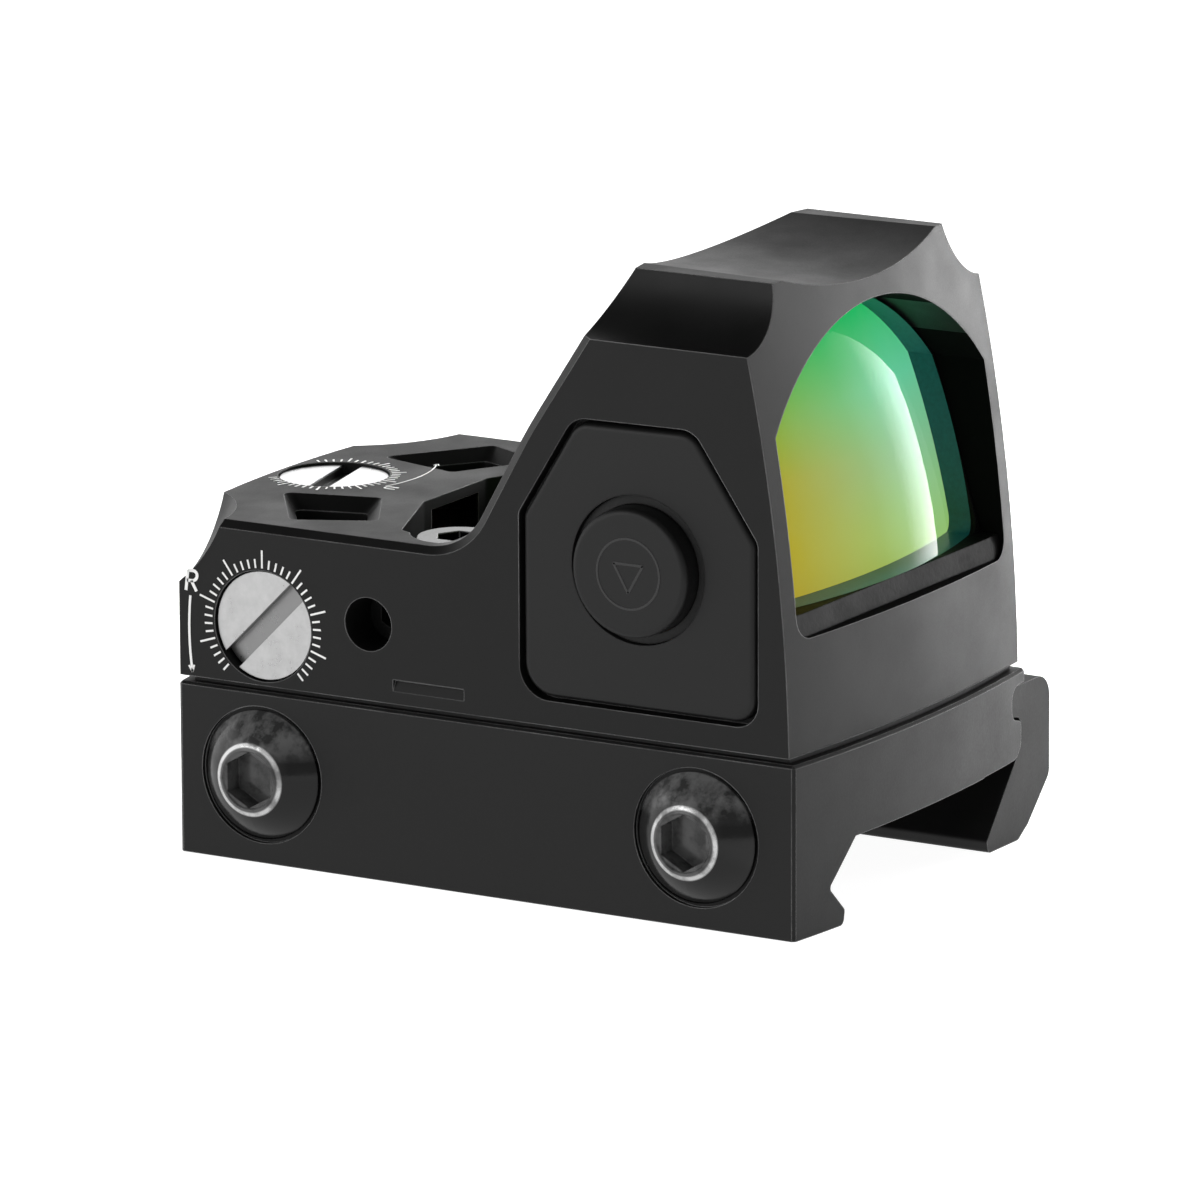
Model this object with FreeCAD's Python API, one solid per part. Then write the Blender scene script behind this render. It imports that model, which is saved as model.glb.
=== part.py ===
import FreeCAD, Part
import math
import os

# Compact reflex sight on a clamp for a standard accessory rail.  Millimetres.
# +Z is up, +Y is forward (the lens faces +Y, the user's eye is behind, at -Y).
# The origin is the middle of the face that rests on top of the rail.

V = FreeCAD.Vector

# ---- driving dimensions -----------------------------------------------------

# Standard accessory rail: dovetail with 45 degree flanks and cross slots.
RAIL_TOP_HALF = 7.8
RAIL_WIDEST_HALF = 10.55
RAIL_SLOT_PITCH = 10.0
SEAT_RELIEF = 0.05

# Base that carries the sight on the rail.
BASE_HALF = 14.0
BASE_SIDE_Y = 21.2
BASE_FRONT_BULGE = 0.9
BASE_REAR_BULGE = 1.3
BASE_BOTTOM = -5.1
BASE_TOP = 5.45
EDGE_CHAMFER = 0.18
GASKET_INSET = 0.7
GASKET_WIDTH = 1.5
GASKET_FLOOR = 4.95

# Clamp screws, three rail slots apart; their shanks lie in the rail's slots.
CLAMP_Y_REAR = -15.4
CLAMP_Y_FRONT = CLAMP_Y_REAR + 3 * RAIL_SLOT_PITCH
CLAMP_Z = 0.33
CLAMP_SHANK_R = 1.97
CLAMP_HOLE_R = 2.15
CLAMP_HEAD_R = 3.95
CLAMP_HEAD_RISE = 2.2
SPOT_FACE_R = 4.2
SPOT_FACE_DEPTH = 0.3
CLAMP_HEX = 3.0
CLAMP_SOCKET_DEPTH = 1.7
CLAMP_MOUTH_R = 2.05
JAW_OUTER = -17.1

# Housing: deck at the back, hood with the lens window at the front.
HOUSING_HALF = 13.85
HOUSING_BOTTOM = 5.78
DECK_TOP = 15.6
HOOD_TOP = 32.95
REAR_ARC_CENTRE_Y = 55.0
FRONT_SPHERE_R = 122.0
FRONT_SPHERE_CENTRE = V(0, -100.41, 3.4)
DECK_CHAMFER = 0.45

# Lens window and the passage behind it.
WINDOW_BOTTOM = 12.5
WINDOW_HALF = 12.5
WINDOW_SPRING_Z = 24.4
WINDOW_PEAK_Z = 30.4
WINDOW_CORNER_R = 1.3
PASSAGE_HALF = 10.8
PASSAGE_FLOOR = 12.3
PASSAGE_PEAK_Z = 29.2
LENS_TILT = 17.0
LENS_MIDDLE = V(0, 17.7, 21.0)
LENS_BOTTOM = 13.6
LENS_DEPTH = 2.9
LENS_GAP = 0.25
LENS_VERTEX = 0.9
LENS_FRONT_R = 46.0
LENS_JOIN_R = 58.0
LENS_FRONT_THICK = 1.9
EMITTER_PANE_Y = -10.88

# Adjusters: one looks out of the right side, one out of the deck.
WINDAGE_Y = -15.3
WINDAGE_Z = 9.43
WINDAGE_FACE = 13.65
ELEVATION_Y = -18.9
ELEVATION_FACE = 15.45
DIAL_R = 3.3
DIAL_BORE_R = 3.4
DIAL_THICK = 1.15
NECK_R = 1.7
THREAD_R = 1.0
DETENT_RADIUS = 2.4
CHAMBER_HALF = 8.8
CHAMBER_REAR = -20.6
CHAMBER_FRONT = -11.6
CHAMBER_TOP = 12.9
SLOT_WIDTH = 1.3
SLOT_DEPTH = 0.6
WINDAGE_SLOT_TURN = -45.0
ELEVATION_SLOT_TURN = 12.0
WINDAGE_NECK = WINDAGE_FACE - DIAL_THICK - CHAMBER_HALF
ELEVATION_NECK = ELEVATION_FACE - DIAL_THICK - CHAMBER_TOP
SEAL_GROOVE_HALF = 0.29
SEAL_GROOVE_R = 1.2
WINDAGE_RING_X = CHAMBER_HALF + 0.8
ELEVATION_RING_Z = CHAMBER_TOP + ELEVATION_NECK / 2
CLIP_GROOVE_R = 0.72
DETENT_BALL_R = 0.44
SPRING_R = 1.45
WIRE_R = 0.2

# Side keypads and buttons.
KEYPAD_DEPTH = 0.95
SWITCH_POCKET_DEPTH = 1.6
SWITCH_POCKET_R = 4.6
KEYPAD_FACE = 13.78
BUTTON_Y = 10.6
BUTTON_Z = 15.85
BUTTON_R = 3.87
BUTTON_LIP_R = 4.48
BUTTON_FACE = 14.9

# Electronics.
BATTERY_R = 10.0
BATTERY_THICK = 3.2
BATTERY_Y = 6.5
BATTERY_BOTTOM = 5.52
PCB_BOTTOM = 9.6
PCB_THICK = 0.8
FLEX_THICK = 0.12

# Screws that hold the housing on the base, and the dowels between the two.
MOUNT_SCREW_X = 9.7
MOUNT_SCREW_Y = -4.1
MOUNT_HEAD_R = 2.75
MOUNT_HEAD_BOTTOM = 12.4
MOUNT_HEAD_TALL = 3.0
MOUNT_SHANK_R = 1.5
DOWEL_X = 10.8
DOWEL_Y = 16.8
DOWEL_R = 1.0
DOWEL_BOTTOM = 3.45
DOWEL_TOP = 7.2

# Lock screw deep in a hole on the right side.
LOCK_Y = -7.9
LOCK_Z = 10.43
LOCK_HOLE_R = 1.62
LOCK_FLOOR = 9.4
LOCK_END = 11.1

FIT = 0.03
FAR = 60.0

# ---- plain shapes -----------------------------------------------------------


def place(axis, u, v, level):
    """Point (u, v) in the plane square to an axis, at a level along that axis."""
    if axis == "X":
        return V(level, u, v)
    if axis == "Y":
        return V(u, level, v)
    return V(u, v, level)


def box(x, y, z):
    """Block between the two ends of each range."""
    corner = V(x[0], y[0], z[0])
    return Part.makeBox(x[1] - x[0], y[1] - y[0], z[1] - z[0], corner)


def cylinder(axis, u, v, radius, start, end):
    """Round bar along an axis from start to end."""
    direction = place(axis, 0, 0, 1)
    return Part.makeCylinder(radius, end - start, place(axis, u, v, start), direction)


def ring(axis, u, v, inner, outer, start, end):
    """Flat ring along an axis."""
    hole = cylinder(axis, u, v, inner, start - 1, end + 1)
    return cylinder(axis, u, v, outer, start, end).cut(hole)


def outline(axis, corners, level):
    """Closed wire; each corner is (u, v) or (u, v, radius of its rounding)."""
    points = [V(corner[0], corner[1], 0) for corner in corners]
    radii = [corner[2] if len(corner) > 2 else 0.0 for corner in corners]
    count = len(points)
    stretches = []
    for index in range(count):
        corner = points[index]
        back = points[index - 1].sub(corner).normalize()
        ahead = points[(index + 1) % count].sub(corner).normalize()
        half_angle = back.getAngle(ahead) / 2
        run = radii[index] / math.tan(half_angle)
        towards_centre = back.add(ahead).normalize()
        depth = radii[index] / math.sin(half_angle) - radii[index]
        middle = corner.add(towards_centre.multiply(depth))
        stretches.append((corner.add(back * run), middle, corner.add(ahead * run)))
    edges = []
    for index in range(count):
        spots = [place(axis, spot.x, spot.y, level) for spot in stretches[index]]
        if radii[index] > 0:
            edges.append(Part.Arc(*spots).toShape())
        following = stretches[(index + 1) % count][0]
        following = place(axis, following.x, following.y, level)
        edges.append(Part.LineSegment(spots[2], following).toShape())
    return Part.Wire(edges)


def prism(axis, corners, start, end):
    """Outline carried along an axis from start to end."""
    face = Part.Face(outline(axis, corners, start))
    return face.extrude(place(axis, 0, 0, end - start))


def tapered_prism(axis, low_corners, low, high_corners, high):
    """Solid between two outlines with the same number of corners."""
    wires = [outline(axis, low_corners, low), outline(axis, high_corners, high)]
    return Part.makeLoft(wires, True, True)


def union(shapes):
    """One solid from several that meet."""
    return shapes[0].multiFuse(shapes[1:]).removeSplitter()


def mirrored(shape):
    """The same piece on the sight's left side."""
    return shape.mirror(V(0, 0, 0), V(1, 0, 0))


def socket_hex(axis, u, v, across, start, end):
    """Six-sided hole for a hex key."""
    radius = across / math.sqrt(3)
    corners = []
    for step in range(6):
        angle = math.radians(60 * step + 30)
        corners.append((u + radius * math.cos(angle), v + radius * math.sin(angle)))
    return prism(axis, corners, start, end)


def coil_spring(axis, u, v, start, end, turns):
    """Helical spring from start to end along an axis."""
    length = end - start - 2 * WIRE_R
    helix = Part.makeHelix(length / turns, length, SPRING_R)
    section = Part.makeCircle(WIRE_R, V(SPRING_R, 0, 0), V(0, 1, 0))
    spring = Part.Wire(helix).makePipeShell([Part.Wire(section)], True, True)
    turn = FreeCAD.Rotation(V(0, 0, 1), place(axis, 0, 0, 1))
    spring.Placement = FreeCAD.Placement(place(axis, u, v, start + WIRE_R), turn)
    return spring


def plan_prism(half_width, side_y, front_bulge, rear_bulge, bottom, top):
    """Block with straight sides and gently curved front and rear ends."""
    right_front = V(half_width, side_y, bottom)
    left_front = V(-half_width, side_y, bottom)
    right_rear = V(half_width, -side_y, bottom)
    left_rear = V(-half_width, -side_y, bottom)
    front_middle = V(0, side_y + front_bulge, bottom)
    rear_middle = V(0, -side_y - rear_bulge, bottom)
    edges = [
        Part.LineSegment(right_rear, right_front).toShape(),
        Part.Arc(right_front, front_middle, left_front).toShape(),
        Part.LineSegment(left_front, left_rear).toShape(),
        Part.Arc(left_rear, rear_middle, right_rear).toShape(),
    ]
    return Part.Face(Part.Wire(edges)).extrude(V(0, 0, top - bottom))


# ---- base, jaw and clamp ----------------------------------------------------


def base_blank():
    """Outer block of the base, with its top and vertical edges broken."""
    block = plan_prism(BASE_HALF, BASE_SIDE_Y, BASE_FRONT_BULGE, BASE_REAR_BULGE,
                       BASE_BOTTOM, BASE_TOP)
    broken = []
    for edge in block.Edges:
        box_of_edge = edge.BoundBox
        at_top = box_of_edge.ZMin > BASE_TOP - 0.01
        upright = box_of_edge.ZLength > 5
        if at_top or upright:
            broken.append(edge)
    return block.makeChamfer(EDGE_CHAMFER, broken)


def base_section():
    """Cross-section of the base: rail channel, fixed claw and jaw groove."""
    corners = [
        (BASE_HALF + 1, BASE_BOTTOM),
        (BASE_HALF + 1, BASE_TOP + 1),
        (-BASE_HALF - 1, BASE_TOP + 1),
        (-BASE_HALF - 1, 4.6),
        (-11.92, 4.6, 0.9),
        (-11.92, 2.6, 0.8),
        (-13.4, 2.3, 0.5),
        (-13.4, SEAT_RELIEF, 1.2),
        (-RAIL_TOP_HALF, SEAT_RELIEF),
        (-RAIL_TOP_HALF, 0.0),
        (RAIL_TOP_HALF, 0.0),
        (RAIL_WIDEST_HALF, -2.6, 0.3),
        (8.95, -4.2, 0.3),
        (9.1, BASE_BOTTOM, 0.4),
    ]
    return prism("Y", corners, -FAR, FAR)


def clamp_positions():
    return (CLAMP_Y_REAR, CLAMP_Y_FRONT)


def base_mount():
    """Base block with the fixed claw on the right."""
    shape = base_blank().common(base_section())
    cutters = []
    for y in clamp_positions():
        cutters.append(cylinder("X", y, CLAMP_Z, CLAMP_HOLE_R, -FAR, FAR))
        spot_floor = BASE_HALF - SPOT_FACE_DEPTH
        cutters.append(cylinder("X", y, CLAMP_Z, SPOT_FACE_R, spot_floor, FAR))
    for side in (-1, 1):
        x = side * MOUNT_SCREW_X
        cutters.append(cylinder("Z", x, MOUNT_SCREW_Y, MOUNT_SHANK_R + FIT, 0.9, FAR))
        dowel_floor = DOWEL_BOTTOM - 0.05
        cutters.append(cylinder("Z", side * DOWEL_X, DOWEL_Y, DOWEL_R + FIT, dowel_floor, FAR))
    cutters.append(gasket_ring(GASKET_INSET - FIT, GASKET_WIDTH + 2 * FIT, GASKET_FLOOR, FAR))
    return shape.cut(Part.makeCompound(cutters))


def gasket_ring(inset, width, bottom, top):
    """Ring that follows the outline of the base."""
    outer = plan_prism(BASE_HALF - inset, BASE_SIDE_Y - inset, BASE_FRONT_BULGE,
                       BASE_REAR_BULGE, bottom, top)
    inner = plan_prism(BASE_HALF - inset - width, BASE_SIDE_Y - inset - width,
                       BASE_FRONT_BULGE, BASE_REAR_BULGE, bottom - 1, top + 1)
    return outer.cut(inner)


def base_gasket():
    """Rubber seal in a groove of the base; it holds the housing just clear."""
    return gasket_ring(GASKET_INSET, GASKET_WIDTH, GASKET_FLOOR, HOUSING_BOTTOM)


def clamp_jaw():
    """Moving jaw on the left; its rounded bead hooks in a groove of the base."""
    corners = [
        (-9.3, -4.35, 0.25),
        (-13.48, 0.65, 0.6),
        (-13.48, 2.45, 0.5),
        (-12.0, 2.75, 0.7),
        (-12.0, 4.52, 0.82),
        (JAW_OUTER, 4.52, 1.5),
        (JAW_OUTER, -1.8, 0.8),
        (-14.4, -4.4, 0.8),
        (-13.2, BASE_BOTTOM, 0.5),
        (-9.5, BASE_BOTTOM, 0.3),
    ]
    jaw = prism("Y", corners, -BASE_SIDE_Y, BASE_SIDE_Y)
    for y in clamp_positions():
        jaw = jaw.cut(cylinder("X", y, CLAMP_Z, CLAMP_SHANK_R + FIT, -FAR, 0))
    return jaw


def clamp_screw(y):
    """M4 button-head screw with a hex socket, along X."""
    seat = BASE_HALF - SPOT_FACE_DEPTH
    sphere_r = (CLAMP_HEAD_R ** 2 + CLAMP_HEAD_RISE ** 2) / (2 * CLAMP_HEAD_RISE) + 0.35
    dome_centre = V(seat + CLAMP_HEAD_RISE - sphere_r, y, CLAMP_Z)
    head = cylinder("X", y, CLAMP_Z, CLAMP_HEAD_R, seat, seat + CLAMP_HEAD_RISE)
    head = head.common(Part.makeSphere(sphere_r, dome_centre))
    shank = cylinder("X", y, CLAMP_Z, CLAMP_SHANK_R, JAW_OUTER + 0.1, seat)
    screw = union([head, shank])
    socket_floor = seat + CLAMP_HEAD_RISE - CLAMP_SOCKET_DEPTH
    mouth = Part.makeCone(CLAMP_MOUTH_R - 0.35, CLAMP_MOUTH_R + 0.35, 0.7,
                          V(seat + CLAMP_HEAD_RISE - 0.45, y, CLAMP_Z), V(1, 0, 0))
    socket = socket_hex("X", y, CLAMP_Z, CLAMP_HEX, socket_floor, FAR)
    return screw.cut(socket).cut(mouth)


# ---- housing ----------------------------------------------------------------


def rear_radius(y):
    """Distance from the rear arc's centre to a point on the housing's side."""
    return math.hypot(HOUSING_HALF, REAR_ARC_CENTRE_Y - y)


def housing_blank():
    """Deck and hood before the openings: curved rear, spherical front."""
    hood_slope = [
        (-1.35, DECK_TOP, 4.0),
        (3.0, 23.35, 40.0),
        (9.33, HOOD_TOP),
    ]
    corners = [(20.0, HOUSING_BOTTOM), (rear_radius(-BASE_SIDE_Y), HOUSING_BOTTOM),
               (rear_radius(-BASE_SIDE_Y), DECK_TOP)]
    for y, z, *radius in hood_slope:
        corners.append((rear_radius(y), z, *radius))
    corners.append((20.0, HOOD_TOP))
    profile = [(REAR_ARC_CENTRE_Y + corner[0],) + tuple(corner[1:]) for corner in corners]
    face = Part.Face(outline("X", profile, 0.0))
    turned = face.revolve(V(0, REAR_ARC_CENTRE_Y, 0), V(0, 0, 1), 360)
    sides = box((-HOUSING_HALF, HOUSING_HALF), (-30, 24), (0, 40))
    blank = turned.common(sides)
    broken = []
    for edge in blank.Edges:
        limits = edge.BoundBox
        on_side = abs(limits.XMin) > HOUSING_HALF - 0.01 and limits.XLength < 0.01
        above = limits.ZMin > DECK_TOP - 0.01 and limits.YMax < 10
        if on_side and above:
            broken.append(edge)
    blank = blank.makeChamfer(DECK_CHAMFER, broken)
    return blank.common(Part.makeSphere(FRONT_SPHERE_R, FRONT_SPHERE_CENTRE))


def arched_corners(half, bottom, spring_z, bottom_radius):
    """Straight part of the lens window: floor and sides."""
    return [
        (-half, spring_z + 10),
        (-half, bottom, bottom_radius),
        (half, bottom, bottom_radius),
        (half, spring_z + 10),
    ]


def arched_prism(half, bottom, spring_z, peak_z, bottom_radius, start, end):
    """Window shape carried along Y: flat floor, straight sides, arched top."""
    rise = peak_z - spring_z
    arch_r = (half ** 2 + rise ** 2) / (2 * rise)
    walls = prism("Y", arched_corners(half, bottom, spring_z, bottom_radius), start, end)
    arch = cylinder("Y", 0, peak_z - arch_r, arch_r, start, end)
    below = box((-FAR, FAR), (start, end), (-FAR, spring_z))
    return walls.common(union([arch, below]))


def tilted(shape):
    """Lean a piece made upright at the origin back onto the lens's place."""
    turn = FreeCAD.Rotation(V(1, 0, 0), LENS_TILT)
    shape.Placement = FreeCAD.Placement(LENS_MIDDLE, turn)
    return shape


def slab_in_front_of_seat(back, front):
    """Space between two planes square to the lens's axis."""
    return tilted(box((-FAR, FAR), (back, front), (-FAR, FAR)))


def deck_recess(side):
    """Weight-saving pocket beside the elevation dial, with flared edges."""
    mouth = [(5.6, -19.0), (4.0, -13.0), (9.4, -9.9), (11.7, -14.7)]
    floor = [(6.3, -17.8), (5.1, -13.3), (9.0, -11.0), (10.7, -14.6)]
    mouth = [(side * x, y, 0.5) for x, y in mouth]
    floor = [(side * x, y, 0.5) for x, y in floor]
    flare = tapered_prism("Z", floor, DECK_TOP - 0.8, mouth, DECK_TOP)
    lip = prism("Z", mouth, DECK_TOP - 0.0001, DECK_TOP + 1)
    well = prism("Z", floor, DECK_TOP - 1.9, DECK_TOP - 0.7999)
    return [flare, lip, well]


def passage_cutters():
    """Open way from the deck through the hood to the lens."""
    passage = arched_prism(PASSAGE_HALF, PASSAGE_FLOOR, WINDOW_SPRING_Z, PASSAGE_PEAK_Z,
                           1.5, -2.0, 30.0)
    behind_lens = passage.common(slab_in_front_of_seat(-FAR, 0.0))
    deck_well = [
        (-11.5, 4.0), (-11.5, -5.6, 1.5), (-10.75, -7.45, 0.5), (-3.6, -10.3, 0.8),
        (3.6, -10.3, 0.8), (10.75, -7.45, 0.5), (11.5, -5.6, 1.5), (11.5, 4.0),
    ]
    well = prism("Z", deck_well, PASSAGE_FLOOR, DECK_TOP + 6)
    well = well.common(box((-FAR, FAR), (-FAR, 1.0), (-FAR, FAR)))
    window = arched_prism(WINDOW_HALF, WINDOW_BOTTOM, WINDOW_SPRING_Z, WINDOW_PEAK_Z,
                          WINDOW_CORNER_R, 0.0, 30.0)
    window = window.common(slab_in_front_of_seat(-LENS_DEPTH - 0.05, FAR))
    return [behind_lens, well, window]


def keypad_corners(gap):
    """Outline of the side keypad in (Y, Z), drawn in by a gap."""
    return [
        (2.55 + gap, 7.3 + gap, 2.0),
        (18.7 - gap, 7.3 + gap, 1.5),
        (18.7 - gap, 18.35 - gap / 2, 1.0),
        (14.4 - gap / 2, 24.6 - gap, 1.6),
        (6.3 + gap / 2, 24.5 - gap, 1.6),
        (2.55 + gap, 18.45 - gap / 2, 0.8),
    ]


def hood_top_cutters():
    """Coves along both top edges and the shallow scoop between the ears."""
    cutters = []
    for side in (-1, 1):
        cutters.append(cylinder("Y", side * 14.5, 33.7, 4.45, -5, 25))
    above = HOOD_TOP + 2
    wires = []
    for y, half, sag in ((4.0, 8.5, 0.95), (19.0, 9.3, 1.35)):
        left = V(-half, y, HOOD_TOP + 0.02)
        right = V(half, y, HOOD_TOP + 0.02)
        dip = V(0, y, HOOD_TOP - sag)
        floor = Part.Arc(left, dip, right).toShape()
        lid = [
            Part.LineSegment(right, V(half, y, above)).toShape(),
            Part.LineSegment(V(half, y, above), V(-half, y, above)).toShape(),
            Part.LineSegment(V(-half, y, above), left).toShape(),
        ]
        wires.append(Part.Wire([floor] + lid))
    cutters.append(Part.makeLoft(wires, True, True))
    return cutters


def adjuster_cutters():
    """Bores for the two adjusters, their detents and the chamber inside."""
    dial_back = WINDAGE_FACE - DIAL_THICK - FIT
    deck_back = ELEVATION_FACE - DIAL_THICK - FIT
    detent_y = WINDAGE_Y + DETENT_RADIUS
    return [
        cylinder("X", WINDAGE_Y, WINDAGE_Z, DIAL_BORE_R, dial_back, FAR),
        cylinder("X", WINDAGE_Y, WINDAGE_Z, NECK_R + 0.05, 0, FAR),
        cylinder("X", WINDAGE_Y, WINDAGE_Z, THREAD_R + 0.05, -CHAMBER_HALF - 1.2, 0),
        cylinder("X", detent_y, WINDAGE_Z, 0.5, dial_back - 1.3, dial_back + 0.1),
        cylinder("Z", 0, ELEVATION_Y, DIAL_BORE_R, deck_back, FAR),
        cylinder("Z", 0, ELEVATION_Y, NECK_R + 0.05, CHAMBER_TOP - 1, FAR),
        cylinder("Z", DETENT_RADIUS, ELEVATION_Y, 0.5, deck_back - 1.2, deck_back + 0.1),
        box((-CHAMBER_HALF, CHAMBER_HALF), (CHAMBER_REAR, CHAMBER_FRONT), (0, CHAMBER_TOP)),
        box((-3.4, 3.4), (-13.9, CHAMBER_FRONT), (10, 14.95)),
        box((-2.2, 2.2), (CHAMBER_FRONT - 1, -10), (12.9, 14.5)),
        box((-2.7, 2.7), (EMITTER_PANE_Y - 0.02, -10), (12.5, 14.9)),
        box((-2.0, 2.0), (CHAMBER_FRONT - 1, -9), (10.2, 11.0)),
    ]


def electronics_cutters():
    """Battery bay, circuit board pocket and the switch pockets with their flex slots."""
    cutters = [
        cylinder("Z", 0, BATTERY_Y, BATTERY_R + 0.3, 0, PCB_BOTTOM - 0.2),
        prism("Z", pcb_corners(0.2), 8.0, 11.4),
    ]
    for side in (-1, 1):
        x = sorted((side * 9.0, side * (HOUSING_HALF - 0.5)))
        cutters.append(box(x, (8.5, 12.7), (10.3, 10.7)))
        x = sorted((side * (HOUSING_HALF - SWITCH_POCKET_DEPTH), side * (HOUSING_HALF - 0.5)))
        cutters.append(box(x, (8.5, 12.7), (10.3, BUTTON_Z)))
        cutters.append(cylinder("X", BUTTON_Y, BUTTON_Z, SWITCH_POCKET_R, x[0], x[1]))
    return cutters


def fastener_cutters():
    """Screw and dowel holes between housing and base, and the lock screw's hole."""
    cutters = []
    for side in (-1, 1):
        x = side * MOUNT_SCREW_X
        cutters.append(cylinder("Z", x, MOUNT_SCREW_Y, MOUNT_SHANK_R + 0.1, 0, FAR))
        cutters.append(cylinder("Z", x, MOUNT_SCREW_Y, MOUNT_HEAD_R + 0.15,
                                MOUNT_HEAD_BOTTOM, DECK_TOP + 5))
        cutters.append(cylinder("Z", side * DOWEL_X, DOWEL_Y, DOWEL_R + FIT, 0,
                                DOWEL_TOP + 0.05))
    cutters.append(cylinder("X", LOCK_Y, LOCK_Z, LOCK_HOLE_R, LOCK_FLOOR, FAR))
    return cutters


def pry_notch():
    """Thin slit low on the right side where a blade lifts the housing."""
    outside = HOUSING_HALF + 0.1
    corners = [(outside, 6.35), (HOUSING_HALF - 0.3, 7.2), (outside, 7.3)]
    return prism("Y", corners, -6.2, -1.3)


def housing():
    """One-piece body: deck, side walls and hood."""
    shape = housing_blank()
    cutters = hood_top_cutters() + passage_cutters() + adjuster_cutters()
    cutters += electronics_cutters() + fastener_cutters() + [pry_notch()]
    for side in (-1, 1):
        cutters += deck_recess(side)
        scallop = V(side * 15.0, -27.3, 19.3)
        cutters.append(Part.makeSphere(9.95, scallop))
        x = sorted((side * (HOUSING_HALF - KEYPAD_DEPTH), side * FAR))
        cutters.append(prism("X", keypad_corners(0.0), x[0], x[1]))
    for cutter in cutters:
        shape = shape.cut(cutter)
    return shape.removeSplitter()


# ---- lens -------------------------------------------------------------------


def lens_outline(gap):
    """Window shape drawn in by a gap, carried along Y."""
    return arched_prism(WINDOW_HALF - gap, LENS_BOTTOM + gap, WINDOW_SPRING_Z,
                        WINDOW_PEAK_Z - gap, WINDOW_CORNER_R - gap, 0, 30)


def ball_behind(radius, vertex):
    """Sphere whose foremost point on the lens's axis is at vertex."""
    return tilted_sphere(radius, vertex - radius)


def tilted_sphere(radius, centre):
    """Sphere with its centre on the lens's axis."""
    angle = math.radians(LENS_TILT)
    along = V(0, math.cos(angle), math.sin(angle))
    return Part.makeSphere(radius, LENS_MIDDLE.add(along.multiply(centre)))


def lens_front():
    """Front glass: bulges forward, cemented behind."""
    glass = lens_outline(LENS_GAP).common(ball_behind(LENS_FRONT_R, LENS_VERTEX))
    joint_at = LENS_VERTEX - LENS_FRONT_THICK
    return glass.cut(ball_behind(LENS_JOIN_R, joint_at))


def lens_rear():
    """Rear glass: carries the mirror coating that returns the dot."""
    joint_at = LENS_VERTEX - LENS_FRONT_THICK - 0.02
    glass = lens_outline(LENS_GAP).common(ball_behind(LENS_JOIN_R, joint_at))
    return glass.common(slab_in_front_of_seat(-LENS_DEPTH, FAR))


def lens_seal():
    """Sealant round the edge of the glass, with a thick strip along the sill."""
    seat = arched_prism(WINDOW_HALF - FIT, WINDOW_BOTTOM + FIT, WINDOW_SPRING_Z,
                        WINDOW_PEAK_Z - FIT, WINDOW_CORNER_R - FIT, 0, 30)
    line = seat.common(slab_in_front_of_seat(-LENS_DEPTH, -LENS_VERTEX))
    strip = seat.common(slab_in_front_of_seat(-LENS_DEPTH, 0.2))
    strip = strip.common(box((-FAR, FAR), (0, FAR), (0, LENS_BOTTOM + LENS_GAP)))
    return union([line, strip]).cut(lens_outline(LENS_GAP - FIT))


def emitter_window():
    """Small pane that the dot's light leaves through."""
    return box((-2.65, 2.65), (EMITTER_PANE_Y, EMITTER_PANE_Y + 0.48), (12.55, 14.85))


# ---- adjusters --------------------------------------------------------------


def adjuster_screw(neck_length, thread_length, slot_angle):
    """Slotted dial, neck with a ring groove, clip groove and thread, along -Z."""
    head = Part.makeCylinder(DIAL_R, DIAL_THICK, V(0, 0, -DIAL_THICK))
    neck_end = -DIAL_THICK - neck_length
    neck = Part.makeCylinder(NECK_R, neck_length, V(0, 0, neck_end))
    thread = Part.makeCylinder(THREAD_R, thread_length, V(0, 0, neck_end - thread_length))
    screw = union([head, neck, thread])
    ring_z = neck_end + min(neck_length, 1.6) / 2
    ring_groove = ring("Z", 0, 0, SEAL_GROOVE_R, NECK_R + 1,
                       ring_z - SEAL_GROOVE_HALF, ring_z + SEAL_GROOVE_HALF)
    clip_groove = ring("Z", 0, 0, CLIP_GROOVE_R, NECK_R + 1, neck_end - 0.4, neck_end)
    slot = box((-5, 5), (-SLOT_WIDTH / 2, SLOT_WIDTH / 2), (-SLOT_DEPTH, 1))
    slot.rotate(V(0, 0, 0), V(0, 0, 1), slot_angle)
    return screw.cut(ring_groove).cut(clip_groove).cut(slot)


def windage_screw():
    """Right-side dial that moves the dot sideways."""
    screw = adjuster_screw(WINDAGE_NECK, CHAMBER_HALF + 9.6, WINDAGE_SLOT_TURN)
    screw.rotate(V(0, 0, 0), V(0, 1, 0), 90)
    screw.translate(V(WINDAGE_FACE, WINDAGE_Y, WINDAGE_Z))
    return screw


def elevation_screw():
    """Deck dial that moves the dot up and down."""
    screw = adjuster_screw(ELEVATION_NECK, 6.6, ELEVATION_SLOT_TURN)
    screw.translate(V(0, ELEVATION_Y, ELEVATION_FACE))
    return screw


def seal_ring(axis, u, v, level):
    """Rubber ring round a screw's neck."""
    wire_r = (NECK_R - SEAL_GROOVE_R) / 2 + 0.01
    middle_r = SEAL_GROOVE_R + wire_r + 0.01
    direction = place(axis, 0, 0, 1)
    return Part.makeTorus(middle_r, wire_r, place(axis, u, v, level), direction)


def retaining_clip(axis, u, v, level):
    """Open ring that snaps into a screw's groove."""
    clip = ring(axis, u, v, CLIP_GROOVE_R + 0.02, 1.7, level - 0.36, level - 0.04)
    if axis == "X":
        gap = box((level - 1, level + 1), (u - 0.6, u + 0.6), (v, v + 4))
    else:
        gap = box((u - 0.6, u + 0.6), (v - 4, v), (level - 1, level + 1))
    return clip.cut(gap)


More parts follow.
